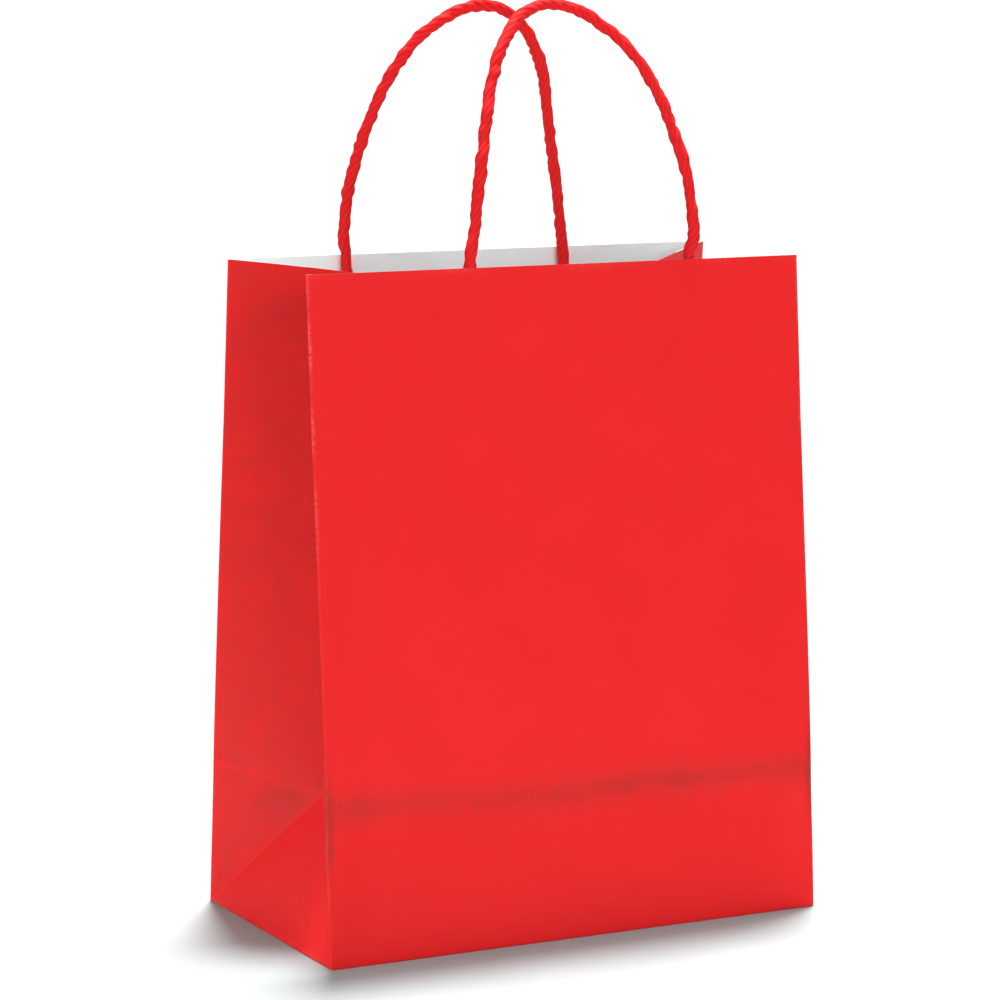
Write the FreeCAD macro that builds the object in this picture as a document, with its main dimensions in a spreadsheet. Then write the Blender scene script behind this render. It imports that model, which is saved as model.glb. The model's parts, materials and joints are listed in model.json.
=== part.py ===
"""Paper gift bag with two twisted paper-cord handles, as a parametric assembly.

Frame: millimetres, +Z up, origin on the floor at the middle of the base, front panel towards -Y.
The bag is one folded sheet: each panel between two folds is a piece of its own, because the folds
are the hinges. The panels lean towards each other, and the side gussets are folded inwards.
"""
import FreeCAD, Part
import math
import os
import Sketcher
from FreeCAD import Placement, Rotation, Vector

SIZES = {
    "bag_width": 220.0,
    "bag_depth": 120.0,
    "panel_height": 270.0,
    "mouth_depth": 76.0,        # front fold to rear fold at the rim
    "paper": 0.3,
    "fold_gap": 0.6,            # bare strip left beside a fold that turns
    "foot_gap": 1.5,            # the same, at the foot triangles' lower edge
    "tuck_gap": 1.8,            # the same, at the tucks' outer edges
    "lap_bond": 2.4,            # how far the rear flap's raised part runs onto its lower part
    "card_lift": 0.96,          # floor to the card, which lies on three layers of paper
    "flap_lap": 18.0,           # how far each bottom flap passes the middle
    "tuck_reach": 66.0,
    "tuck_tip": 30.0,           # half width of a tuck's inner edge
    "card_length": 214.0,
    "card_depth": 114.0,
    "card_thick": 1.2,
    "gusset_slack": 1.6,        # each gusset half stops this far short of the middle fold
    "top_sag": 1.9,             # the middle fold's top end lies lower than the half's own corner
    "seam_width": 18.0,
    "seam_inset": 4.0,
    "patch_width": 132.0,
    "patch_height": 40.0,
    "patch_drop": 16.0,         # rim to the patch's top edge
    "cord_radius": 2.4,
    "cord_seat": 4.0,           # patch's lower edge to the cord's cut end
    "channel_foot": 4.8,        # half width of the raised channel over a cord, at its foot
    "channel_crown": 1.4,       # the same, at its top
    "channel_room": 0.15,
    "neck_rise": 3.2,           # rim to the neck's pivot line
    "neck_room": 0.2,
    "swing_room": 1.0,          # gap that lets the loop fold over without meeting its neck
}

# Where each handle's two ends leave the rim, and the route of its free loop, from pivot to pivot.
FRONT_LEGS = (-38.5, 60.5)
REAR_LEGS = (40.5, -59.5)
FRONT_ROUTE = (
    (-37.0, -34.5, 280.0),
    (-33.5, -32.5, 298.0),
    (-29.5, -29.0, 318.0),
    (-24.5, -24.0, 338.0),
    (-17.0, -18.5, 354.5),
    (-7.5, -14.0, 365.5),
    (2.5, -12.0, 370.5),
    (11.5, -11.8, 371.0),
    (20.5, -12.8, 368.5),
    (31.5, -15.0, 363.0),
    (43.0, -19.5, 351.5),
    (52.5, -25.0, 334.5),
    (58.5, -29.8, 314.0),
    (63.0, -32.6, 297.0),
    (63.0, -34.5, 280.0),
)
REAR_ROUTE = (
    (39.0, 34.5, 280.0),
    (35.5, 32.5, 298.5),
    (30.5, 29.0, 319.0),
    (25.5, 23.7, 339.0),
    (18.0, 18.5, 354.5),
    (8.0, 14.4, 364.5),
    (-2.0, 12.4, 369.5),
    (-11.5, 12.0, 370.5),
    (-21.0, 13.2, 367.5),
    (-32.0, 15.8, 361.0),
    (-42.0, 20.3, 349.0),
    (-49.0, 25.0, 334.5),
    (-55.0, 29.6, 315.0),
    (-60.0, 32.7, 296.5),
    (-60.5, 34.5, 280.0),
)
ARC_SHARE = 0.45                # how much of the shorter run each bend of the route takes
HALF_TURN = Rotation(Vector(0, 0, 1), 180)

doc = FreeCAD.newDocument("gift_bag")
sheet = doc.addObject("Spreadsheet::Sheet", "dims")
pieces = []


def fill_sheet():
    """Put every driving dimension in the sheet, under its own alias."""
    for row, (alias, value) in enumerate(SIZES.items(), start=1):
        sheet.set("A%d" % row, alias)
        sheet.set("B%d" % row, str(value))
        sheet.setAlias("B%d" % row, alias)
    doc.recompute()


def size(alias):
    return float(sheet.get(alias))


class Span:
    """A length made of sheet cells: its number now, and the expression that keeps it bound."""

    def __init__(self, **shares):
        self.value = sum(share * size(alias) for alias, share in shares.items())
        self.text = " + ".join("%g * dims.%s" % (share, alias) for alias, share in shares.items())


def plane_of(body, role):
    return next(item for item in body.Origin.OriginFeatures if item.Role == role)


def closed_sketch(body, name, role, corners, height=None):
    """A closed outline whose every corner is bound to the sheet."""
    sketch = body.newObject("Sketcher::SketchObject", name)
    sketch.AttachmentSupport = [(plane_of(body, role), "")]
    sketch.MapMode = "FlatFace"
    if height is not None:
        sketch.setExpression("AttachmentOffset.Base.z", height.text)
    count = len(corners)
    for index in range(count):
        here = corners[index]
        after = corners[(index + 1) % count]
        start = Vector(here[0].value, here[1].value, 0)
        end = Vector(after[0].value, after[1].value, 0)
        sketch.addGeometry(Part.LineSegment(start, end))
    for index in range(count):
        sketch.addConstraint(Sketcher.Constraint("Coincident", index, 2, (index + 1) % count, 1))
    for index, (across, up) in enumerate(corners):
        for kind, span in (("DistanceX", across), ("DistanceY", up)):
            rule = Sketcher.Constraint(kind, -1, 1, index, 1, span.value)
            number = sketch.addConstraint(rule)
            sketch.setExpression("Constraints[%d]" % number, span.text)
    doc.recompute()
    return sketch


def add_pad(body, sketch, length, backwards=False):
    pad = body.newObject("PartDesign::Pad", sketch.Name + "_pad")
    pad.Profile = sketch
    pad.setExpression("Length", length.text)
    pad.Reversed = backwards
    doc.recompute()
    return pad


def flat_piece(label, role, corners, length, placement, backwards=False, height=None):
    """One flat piece: an outline on an origin plane, padded by its thickness."""
    body = doc.addObject("PartDesign::Body", label)
    sketch = closed_sketch(body, label + "_outline", role, corners, height)
    add_pad(body, sketch, length, backwards)
    body.Placement = placement
    return keep(body, label)


def keep(item, label):
    item.Label = label
    pieces.append(item)
    return item


def rectangle(low_x, high_x, low_y, high_y):
    return [(low_x, low_y), (high_x, low_y), (high_x, high_y), (low_x, high_y)]


fill_sheet()
PAPER = Span(paper=1)
ZERO = Span(paper=0)
LEAN = math.asin((size("bag_depth") - size("mouth_depth")) / 2 / size("panel_height"))
FOOT_TILT = math.acos((1 - math.sin(LEAN)) / math.cos(LEAN))
UP_PANEL = Vector(0, math.sin(LEAN), math.cos(LEAN))
INTO_BAG = Vector(0, math.cos(LEAN), -math.sin(LEAN))


def on_panel(side, local=Placement()):
    """The frame of a panel: its outer face is y = 0, its base fold is z = 0. side 1 front, -1 rear."""
    lean = Rotation(Vector(1, 0, 0), -math.degrees(LEAN))
    front = Placement(Vector(0, -size("bag_depth") / 2, 0), lean)
    turned = Placement(Vector(), HALF_TURN if side < 0 else Rotation())
    return turned.multiply(front).multiply(local)


def panel_point(across, inward, up, side=1):
    """A point given by its place on a panel: across, into the bag and up the leaning panel."""
    point = Vector(across * side, -size("bag_depth") / 2, 0) + UP_PANEL * up + INTO_BAG * inward
    return HALF_TURN.multVec(point) if side < 0 else point


# ---------------------------------------------------------------- base

def bottom_flaps():
    """Front flap flat on the floor; rear flap steps up by one paper where the two overlap."""
    edge = Span(bag_width=0.5, fold_gap=-1)
    edge_neg = Span(bag_width=-0.5, fold_gap=1)
    tip = Span(bag_width=0.5, bag_depth=-0.5, flap_lap=-1)
    tip_neg = Span(bag_width=-0.5, bag_depth=0.5, flap_lap=1)
    fold = Span(bag_depth=-0.5, fold_gap=1)
    flat_piece("bottom_flap_front", "XY_Plane",
               [(edge_neg, fold), (edge, fold), (tip, Span(flap_lap=1)), (tip_neg, Span(flap_lap=1))],
               PAPER, Placement())

    body = doc.addObject("PartDesign::Body", "bottom_flap_rear")
    back = Span(bag_depth=0.5, fold_gap=-1)
    step = Span(flap_lap=1, fold_gap=1)
    step_x = Span(bag_width=0.5, bag_depth=-0.5, flap_lap=1, fold_gap=1)
    step_x_neg = Span(bag_width=-0.5, bag_depth=0.5, flap_lap=-1, fold_gap=-1)
    outer = closed_sketch(body, "rear_flap_floor", "XY_Plane",
                          [(step_x_neg, step), (step_x, step), (edge, back), (edge_neg, back)])
    add_pad(body, outer, PAPER)
    ledge = Span(flap_lap=1, lap_bond=1)
    inner = closed_sketch(body, "rear_flap_lap", "XY_Plane",
                          [(tip_neg, Span(flap_lap=-1)), (tip, Span(flap_lap=-1)),
                           (step_x, ledge), (step_x_neg, ledge)], PAPER)
    add_pad(body, inner, PAPER)
    keep(body, "bottom_flap_rear")


def bottom_tucks():
    """The two end tucks lie inside, on top of both flaps, with mitred corners."""
    wide = Span(bag_depth=0.5, tuck_gap=-1)
    wide_neg = Span(bag_depth=-0.5, tuck_gap=1)
    tip = Span(tuck_tip=1)
    tip_neg = Span(tuck_tip=-1)
    for label, side in (("bottom_tuck_left", -1), ("bottom_tuck_right", 1)):
        fold = Span(bag_width=0.5 * side, tuck_gap=-side)
        end = Span(bag_width=0.5 * side, tuck_reach=-1 * side)
        flat_piece(label, "XY_Plane", [(fold, wide_neg), (end, tip_neg), (end, tip), (fold, wide)],
                   PAPER, Placement(), height=Span(paper=2))


def base_card():
    """A loose card, slightly smaller than the base, that stiffens the bottom."""
    long_side = Span(card_length=0.5)
    long_neg = Span(card_length=-0.5)
    short_side = Span(card_depth=0.5)
    short_neg = Span(card_depth=-0.5)
    flat_piece("base_card", "XY_Plane", rectangle(long_neg, long_side, short_neg, short_side),
               Span(card_thick=1), Placement(), height=Span(card_lift=1))


# ---------------------------------------------------------------- panels and gussets

def panels():
    for label, side in (("front_panel", 1), ("rear_panel", -1)):
        flat_piece(label, "XZ_Plane",
                   rectangle(Span(bag_width=-0.5), Span(bag_width=0.5),
                             Span(fold_gap=1), Span(panel_height=1)),
                   PAPER, on_panel(side), backwards=True)


def side_seam_tab():
    """The sheet's glued lap, inside the rear panel, beside the rear left fold."""
    near = Span(bag_width=0.5, seam_inset=-1)
    far = Span(bag_width=0.5, seam_inset=-1, seam_width=-1)
    inner_face = on_panel(-1, Placement(Vector(0, size("paper"), 0), Rotation()))
    flat_piece("side_seam_tab", "XZ_Plane",
               rectangle(far, near, Span(bag_depth=0.5), Span(panel_height=1, seam_inset=-1)),
               PAPER, inner_face, backwards=True)


def gusset_feet():
    """The triangle at the foot of each side, hinged on the base, with its tip at the middle fold."""
    low = Span(foot_gap=1)
    wide = Span(bag_depth=0.5, foot_gap=-1, fold_gap=-1)
    wide_neg = Span(bag_depth=-0.5, foot_gap=1, fold_gap=1)
    tip = Span(bag_depth=0.5, fold_gap=-1)
    for label, side in (("left_gusset_foot", -1), ("right_gusset_foot", 1)):
        tilt = Rotation(Vector(0, 1, 0), -side * math.degrees(FOOT_TILT))
        flat_piece(label, "YZ_Plane", [(wide_neg, low), (wide, low), (ZERO, tip)],
                   PAPER, Placement(Vector(side * size("bag_width") / 2, 0, 0), tilt),
                   backwards=side > 0)


def gusset_point(up, width):
    """A point of the left front gusset half, `width` from the fold it shares with the front panel.

    The half turns in about that fold until its free edge would reach the bag's middle plane.
    """
    fold = panel_point(-size("bag_width") / 2, size("paper"), up)
    half_depth = size("bag_depth") / 2
    turn = math.acos(-fold.y / (half_depth * math.cos(LEAN)))
    return fold + INTO_BAG * (width * math.cos(turn)) + Vector(width * math.sin(turn), 0, 0)


def gusset_halves():
    """Four halves, each two flat facets of paper, mirrored from the left front one."""
    half_depth = size("bag_depth") / 2
    width = half_depth - size("gusset_slack")
    low = 2 * size("fold_gap")
    fold_foot = gusset_point(low, 0)
    fold_top = gusset_point(size("panel_height"), 0)
    middle_foot = gusset_point(low + width, width)
    middle_top = gusset_point(size("panel_height"), width) - Vector(0, 0, size("top_sag"))
    facets = ((fold_foot, middle_foot, fold_top), (middle_foot, middle_top, fold_top))
    outward = (middle_foot - fold_top).cross(middle_top - fold_foot)
    outward.normalize()
    if outward.x > 0:
        outward = outward * -1
    skin = outward * size("paper")
    prisms = [Part.Face(Part.makePolygon(list(facet) + [facet[0]])).extrude(skin) for facet in facets]
    left_front = prisms[0].fuse(prisms[1]).removeSplitter().Solids[0]
    across = left_front.mirror(Vector(), Vector(1, 0, 0))
    for label, shape in (("left_gusset_front_half", left_front),
                         ("right_gusset_front_half", across),
                         ("left_gusset_rear_half", left_front.mirror(Vector(), Vector(0, 1, 0))),
                         ("right_gusset_rear_half", across.mirror(Vector(), Vector(0, 1, 0)))):
        piece = doc.addObject("Part::Feature", label)
        piece.Shape = shape
        piece.Placement = Placement()
        keep(piece, label)


# ---------------------------------------------------------------- handles

def patches(name, side, legs):
    """A backing strip glued on the panel, and a cover with a raised channel over each cord end."""
    local_legs = sorted(leg * side for leg in legs)
    centre = sum(local_legs) / 2
    top = Span(panel_height=1, patch_drop=-1)
    bottom = Span(panel_height=1, patch_drop=-1, patch_height=-1)
    backing_place = on_panel(side, Placement(Vector(centre, size("paper"), 0), Rotation()))
    flat_piece(name + "_patch_backing", "XZ_Plane",
               rectangle(Span(patch_width=-0.5), Span(patch_width=0.5), bottom, top),
               PAPER, backing_place, backwards=True)

    half_gap = (local_legs[1] - local_legs[0]) / 2
    outline = cover_outline(half_gap)
    body = doc.addObject("PartDesign::Body", name + "_patch_cover")
    sketch = closed_sketch(body, name + "_cover_outline", "XY_Plane", outline, bottom)
    add_pad(body, sketch, Span(patch_height=1))
    body.Placement = on_panel(side, Placement(Vector(centre, 2 * size("paper"), 0), Rotation()))
    keep(body, name + "_patch_cover")


class Shifted:
    """A span moved by a fixed distance, for what stands beside a cord's own place."""

    def __init__(self, span, shift):
        self.value = span.value + shift
        self.text = "%s + %g" % (span.text, shift)


def cover_outline(half_gap):
    """Cross-section of the cover: a band one paper thick, flat between two raised channels."""
    crown = Span(cord_radius=2, channel_room=1)
    crown_top = Span(cord_radius=2, channel_room=1, paper=1)
    lower = [(Span(patch_width=-0.5), ZERO)]
    upper = [(Span(patch_width=-0.5), PAPER)]
    for leg in (-half_gap, half_gap):
        lower += [(Shifted(Span(channel_foot=-1), leg), ZERO),
                  (Shifted(Span(channel_crown=-1), leg), crown),
                  (Shifted(Span(channel_crown=1), leg), crown),
                  (Shifted(Span(channel_foot=1), leg), ZERO)]
        upper += [(Shifted(Span(channel_foot=-1, paper=-1), leg), PAPER),
                  (Shifted(Span(channel_crown=-1, paper=-1), leg), crown_top),
                  (Shifted(Span(channel_crown=1, paper=1), leg), crown_top),
                  (Shifted(Span(channel_foot=1, paper=1), leg), PAPER)]
    lower.append((Span(patch_width=0.5), ZERO))
    upper.append((Span(patch_width=0.5), PAPER))
    return lower + upper[::-1]


def rod(name, start, end):
    """A straight piece of cord between two points."""
    item = doc.addObject("Part::Cylinder", name)
    item.setExpression("Radius", "dims.cord_radius")
    item.Height = (end - start).Length
    item.Placement = Placement(start, Rotation(Vector(0, 0, 1), end - start))
    return item


def ball(name, centre):
    """The round end that lets a piece of cord turn about its pivot line."""
    item = doc.addObject("Part::Sphere", name)
    item.setExpression("Radius", "dims.cord_radius")
    item.Placement = Placement(centre, Rotation())
    return item


def joined(label, members):
    union = doc.addObject("Part::MultiFuse", label)
    union.Shapes = members
    return keep(union, label)


def pivot_height():
    return size("panel_height") + size("neck_rise")


def handle_ends(name, side, legs):
    """The two straight cord ends between backing and cover, up to just past the rim."""
    inward = 2 * size("paper") + size("cord_radius")
    low = size("panel_height") - size("patch_drop") - size("patch_height") + size("cord_seat")
    high = pivot_height() - size("cord_radius") - size("neck_room")
    rods = []
    for index, leg in enumerate(legs):
        start = panel_point(leg, inward, low, side)
        end = panel_point(leg, inward, high, side)
        rods.append(rod("%s_end_%d" % (name, index), start, end))
    group = doc.addObject("Part::Compound", name + "_handle_ends")
    group.Links = rods
    keep(group, name + "_handle_ends")


def handle_necks(name, side, legs, route):
    """The short bending lengths just above the rim, one at each end of the loop."""
    inward = 2 * size("paper") + size("cord_radius")
    necks = []
    for index, (leg, loop_end) in enumerate(zip(legs, (route[0], route[-1]))):
        pivot = panel_point(leg, inward, pivot_height(), side)
        towards = Vector(*loop_end) - pivot
        reach = towards.Length - size("cord_radius") - size("swing_room")
        towards.normalize()
        parts = [ball("%s_neck_ball_%d" % (name, index), pivot),
                 rod("%s_neck_rod_%d" % (name, index), pivot, pivot + towards * reach)]
        neck = doc.addObject("Part::MultiFuse", "%s_neck_%d" % (name, index))
        neck.Shapes = parts
        necks.append(neck)
    group = doc.addObject("Part::Compound", name + "_handle_necks")
    group.Links = necks
    keep(group, name + "_handle_necks")


def rounded_path(points):
    """Straight runs joined by tangent arcs, each arc as large as its two runs allow."""
    points = [Vector(*point) for point in points]
    edges = []
    radii = []
    at = points[0]
    for before, corner, after in zip(points, points[1:], points[2:]):
        back = before - corner
        ahead = after - corner
        share = ARC_SHARE * min(back.Length, ahead.Length)
        turn = math.pi - back.getAngle(ahead)
        radius = share / math.tan(turn / 2)
        radii.append(radius)
        back.normalize()
        ahead.normalize()
        start = corner + back * share
        end = corner + ahead * share
        middle_line = back + ahead
        middle_line.normalize()
        middle = corner + middle_line * (radius / math.cos(turn / 2) - radius)
        edges.append(Part.LineSegment(at, start).toShape())
        edges.append(Part.Arc(start, middle, end).toShape())
        at = end
    edges.append(Part.LineSegment(at, points[-1]).toShape())
    return Part.Wire(edges), radii


def handle_loop(name, route):
    """The free arch of cord, round-ended at both pivots."""
    wire, radii = rounded_path(route)
    path = doc.addObject("Part::Feature", name + "_handle_path")
    path.Shape = wire
    profile = doc.addObject("Part::Circle", name + "_handle_section")
    profile.setExpression("Radius", "dims.cord_radius")
    start = Vector(*route[0])
    profile.Placement = Placement(start, Rotation(Vector(0, 0, 1), Vector(*route[1]) - start))
    tube = doc.addObject("Part::Sweep", name + "_handle_tube")
    tube.Sections = [profile]
    tube.Spine = (path, ["Edge%d" % (index + 1) for index in range(len(wire.Edges))])
    tube.Solid = True
    tube.Frenet = True
    doc.recompute()
    expected = math.pi * size("cord_radius") ** 2 * wire.Length
    print("%s loop: length %.1f mm, smallest radius %.1f mm, volume / (section x length) %.4f"
          % (name, wire.Length, min(radii), tube.Shape.Volume / expected))
    print("  radii:", ", ".join("%.0f" % radius for radius in radii))
    balls = [ball("%s_loop_ball_%d" % (name, index), Vector(*route[end]))
             for index, end in enumerate((0, -1))]
    joined(name + "_handle_loop", [tube] + balls)


def handle(name, side, legs, route):
    patches(name, side, legs)
    handle_ends(name, side, legs)
    handle_necks(name, side, legs, route)
    handle_loop(name, route)


def check_and_write():
    """Stop on any failed object or bad solid, then write one STEP file for each piece."""
    doc.recompute()
    for item in doc.Objects:
        if "Invalid" in item.State or "Error" in item.State:
            raise RuntimeError("%s failed: %s" % (item.Name, item.State))
    for piece in pieces:
        shape = piece.Shape
        if shape.isNull() or not shape.isValid() or not shape.Solids:
            raise RuntimeError("%s has no valid solid" % piece.Label)
    os.makedirs("parts", exist_ok=True)
    for piece in pieces:
        piece.Shape.exportStep("parts/%s.step" % piece.Label)
        box = piece.Shape.BoundBox
        print("%-26s solids %d  volume %9.1f  x %.1f..%.1f  y %.1f..%.1f  z %.2f..%.1f"
              % (piece.Label, len(piece.Shape.Solids), piece.Shape.Volume,
                 box.XMin, box.XMax, box.YMin, box.YMax, box.ZMin, box.ZMax))


bottom_flaps()
bottom_tucks()
base_card()
panels()
side_seam_tab()
gusset_feet()
gusset_halves()
handle("front", 1, FRONT_LEGS, FRONT_ROUTE)
handle("rear", -1, REAR_LEGS, REAR_ROUTE)
check_and_write()
pivot = panel_point(0, 2 * size("paper") + size("cord_radius"), pivot_height())
print("lean %.4f deg, foot tilt %.4f deg" % (math.degrees(LEAN), math.degrees(FOOT_TILT)))
print("neck pivot line y %.3f z %.3f" % (pivot.y, pivot.z))
corner = panel_point(-size("bag_width") / 2, size("paper"), 0)
print("gusset hinge through x %.3f y %.3f z %.3f" % (corner.x, corner.y, corner.z))
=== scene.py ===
"""The looks of a red paper gift bag with twisted paper-cord handles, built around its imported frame.

Metres, +Z up, origin on the floor at the middle of the base, front wall towards -Y.
Every sheet of paper is a thin shell: a red outer skin, a white inner skin and the cut edge between.
"""
import json
import math

import bpy
import numpy as np
from mathutils import Matrix, Vector


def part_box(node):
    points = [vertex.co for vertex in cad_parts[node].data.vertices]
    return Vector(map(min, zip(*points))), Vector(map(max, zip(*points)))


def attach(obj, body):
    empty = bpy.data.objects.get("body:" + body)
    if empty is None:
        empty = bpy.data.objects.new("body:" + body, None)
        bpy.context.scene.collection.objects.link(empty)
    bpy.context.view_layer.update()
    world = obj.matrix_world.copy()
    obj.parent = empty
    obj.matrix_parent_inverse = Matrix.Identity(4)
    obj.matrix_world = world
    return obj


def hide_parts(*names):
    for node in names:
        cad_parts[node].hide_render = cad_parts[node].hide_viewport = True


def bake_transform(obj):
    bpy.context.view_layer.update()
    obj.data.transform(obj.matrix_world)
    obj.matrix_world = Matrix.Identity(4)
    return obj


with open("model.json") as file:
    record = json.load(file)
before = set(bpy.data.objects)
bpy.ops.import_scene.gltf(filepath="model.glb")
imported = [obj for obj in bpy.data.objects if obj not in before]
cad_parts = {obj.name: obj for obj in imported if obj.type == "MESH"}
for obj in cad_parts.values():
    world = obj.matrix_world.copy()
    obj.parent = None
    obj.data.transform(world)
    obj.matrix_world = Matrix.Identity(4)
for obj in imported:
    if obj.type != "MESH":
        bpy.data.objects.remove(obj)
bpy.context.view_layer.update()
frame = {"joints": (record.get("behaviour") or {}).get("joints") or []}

MM = 0.001
JOINTS = {joint["name"]: joint for joint in frame["joints"]}

# ---------------------------------------------------------------- sizes, read from the frame

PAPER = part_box("bottom_flap_front")[1].z
HALF_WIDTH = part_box("front_panel")[1].x
RIM_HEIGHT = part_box("front_panel")[1].z
HALF_DEPTH = -JOINTS["mouth_close"]["pos_m"][1]
RIM_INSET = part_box("front_panel")[1].y + HALF_DEPTH - PAPER
LEAN = math.atan2(RIM_INSET, RIM_HEIGHT)
WALL_HEIGHT = math.hypot(RIM_INSET, RIM_HEIGHT)
MIDDLE_TOP_SAG = 1.9 * MM       # the gusset's middle fold ends this much lower at the rim
RIM_ZONE = RIM_HEIGHT - 2.6 * MM    # a sheet's edge is cut above this height and folded below it
FOLD_RADIUS = 0.5 * MM          # outside radius of every folded edge
FOLD_X = HALF_WIDTH - 0.2 * MM  # the middle of that rounding
LIP = 2.6 * MM                  # how far a folded piece runs on behind the next one
LIP_THICKNESS = 0.12 * MM
LIP_OUTWARD = 0.15 * MM         # how far a lip's outer skin lies outside the middle of the folds
SWAY = 0.2 * MM                 # height of the paper's slow waves

# Wear: how pale the paper has rubbed at an edge. The shades are painted shade: how much darker the paper is
# painted at a crease, beside a fold and deep in a gusset, where shade falls.
CORNER_WEAR = 0.75              # the walls' upright folds
RIM_WEAR = 0.2
FOLD_WEAR = 0.35                # the gussets' folds
FLAP_WEAR = 0.3                 # the edges of the base's flaps and tucks
# Painted shade, as a share of the way to the red paper's shade colour:
CREASE_SHADE = 0.58
PINCH_SHADE = 1.6               # beside a wall's upright fold, where the crease meets it
GUSSET_SHADE = 0.36             # all over a gusset
WRINKLE_SHADE = 0.18            # more than that along a faint wrinkle below the crease
POCKET_SHADE = 0.85             # deep inside the gusset at the crease

FRONT = 1
REAR = -1
LEFT = -1
RIGHT = 1
WALL_NAME = {FRONT: "front", REAR: "rear"}
END_NAME = {LEFT: "left", RIGHT: "right"}


def smooth(t):
    """0 below 0, 1 above 1, and a soft step between."""
    t = np.clip(t, 0.0, 1.0)
    return t * t * (3 - 2 * t)


WAVE_COUNT = 5
WAVE_PEAK = 3.2                 # a sum of that many waves seldom gets higher


def waves(x, s, seed, length):
    """Slow uneven waves of the paper, between about -1 and 1."""
    rng = np.random.default_rng(seed)
    total = np.zeros(np.broadcast(x, s).shape)
    for _ in range(WAVE_COUNT):
        direction = rng.uniform(0, 2 * math.pi)
        stretch = 2 * math.pi / (length * rng.uniform(0.7, 1.6))
        phase = rng.uniform(0, 2 * math.pi)
        total = total + np.sin((x * math.cos(direction) + s * math.sin(direction)) * stretch + phase)
    return total / WAVE_PEAK


# ---------------------------------------------------------------- camera

def photo_camera():
    """A long lens from the front left, looking slightly down, fitted to the bag's seven visible corners."""
    spot = Vector((-0.7076, -1.3458, 0.4013))
    yaw = math.radians(27.52)
    pitch = math.radians(8.67)
    roll = math.radians(0.31)
    ahead = Vector((math.sin(yaw) * math.cos(pitch), math.cos(yaw) * math.cos(pitch), -math.sin(pitch)))
    level = Vector((math.cos(yaw), -math.sin(yaw), 0))
    upright = level.cross(ahead)
    right = level * math.cos(roll) + upright * math.sin(roll)
    up = upright * math.cos(roll) - level * math.sin(roll)
    data = bpy.data.cameras.new("camera")
    data.sensor_width = 36.0
    data.lens = 135.4
    data.clip_start = 0.05
    data.clip_end = 200.0
    camera = bpy.data.objects.new("camera", data)
    pose = Matrix((right, up, -ahead)).transposed().to_4x4()
    pose.translation = spot
    camera.matrix_world = pose
    bpy.context.scene.collection.objects.link(camera)
    bpy.context.scene.camera = camera


photo_camera()


# ---------------------------------------------------------------- materials

class Nodes:
    """A material's node tree, with short ways to add and join nodes."""

    def __init__(self, name):
        self.material = bpy.data.materials.new(name)
        self.material.use_nodes = True
        self.tree = self.material.node_tree
        self.shader = self.tree.nodes["Principled BSDF"]

    def add(self, kind, **values):
        node = self.tree.nodes.new(kind)
        for key, value in values.items():
            setattr(node, key, value)
        return node

    def join(self, source, target):
        self.tree.links.new(source, target)

    def chart(self, name="chart"):
        """The coordinates that each sheet and cord carries with it."""
        return self.add("ShaderNodeAttribute", attribute_name=name).outputs["Vector"]

    def split(self, vector):
        """The chart's two places on the sheet, as a vector for noise, and its third value by itself."""
        axes = self.add("ShaderNodeSeparateXYZ")
        places = self.add("ShaderNodeCombineXYZ")
        self.join(vector, axes.inputs["Vector"])
        self.join(axes.outputs["X"], places.inputs["X"])
        self.join(axes.outputs["Y"], places.inputs["Y"])
        return places.outputs["Vector"], axes.outputs["Z"]

    def noise(self, vector, scale, detail=3.0, roughness=0.5):
        node = self.add("ShaderNodeTexNoise")
        node.inputs["Scale"].default_value = scale
        node.inputs["Detail"].default_value = detail
        node.inputs["Roughness"].default_value = roughness
        self.join(vector, node.inputs["Vector"])
        return node.outputs["Fac"]

    def spread(self, value, low, high, to_low=0.0, to_high=1.0):
        node = self.add("ShaderNodeMapRange")
        node.inputs["From Min"].default_value = low
        node.inputs["From Max"].default_value = high
        node.inputs["To Min"].default_value = to_low
        node.inputs["To Max"].default_value = to_high
        self.join(value, node.inputs["Value"])
        return node.outputs["Result"]

    def times(self, a, b):
        node = self.add("ShaderNodeMath", operation="MULTIPLY")
        self.join(a, node.inputs[0])
        self.join(b, node.inputs[1])
        return node.outputs["Value"]

    def blend(self, share, first, second):
        """A colour between two others, each a colour or a socket."""
        node = self.add("ShaderNodeMix", data_type="RGBA")
        self.join(share, node.inputs["Factor"])
        for socket, colour in ((node.inputs[6], first), (node.inputs[7], second)):
            if isinstance(colour, tuple):
                socket.default_value = (*colour, 1.0)
            else:
                self.join(colour, socket)
        return node.outputs[2]

    def bump(self, height, strength, distance, before=None):
        node = self.add("ShaderNodeBump")
        node.inputs["Strength"].default_value = strength
        node.inputs["Distance"].default_value = distance
        self.join(height, node.inputs["Height"])
        if before is not None:
            self.join(before, node.inputs["Normal"])
        return node.outputs["Normal"]

    def finish(self, colour, normal, roughness, specular):
        self.join(colour, self.shader.inputs["Base Color"])
        self.join(normal, self.shader.inputs["Normal"])
        if isinstance(roughness, float):
            self.shader.inputs["Roughness"].default_value = roughness
        else:
            self.join(roughness, self.shader.inputs["Roughness"])
        self.shader.inputs["Specular IOR Level"].default_value = specular
        return self.material


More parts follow.
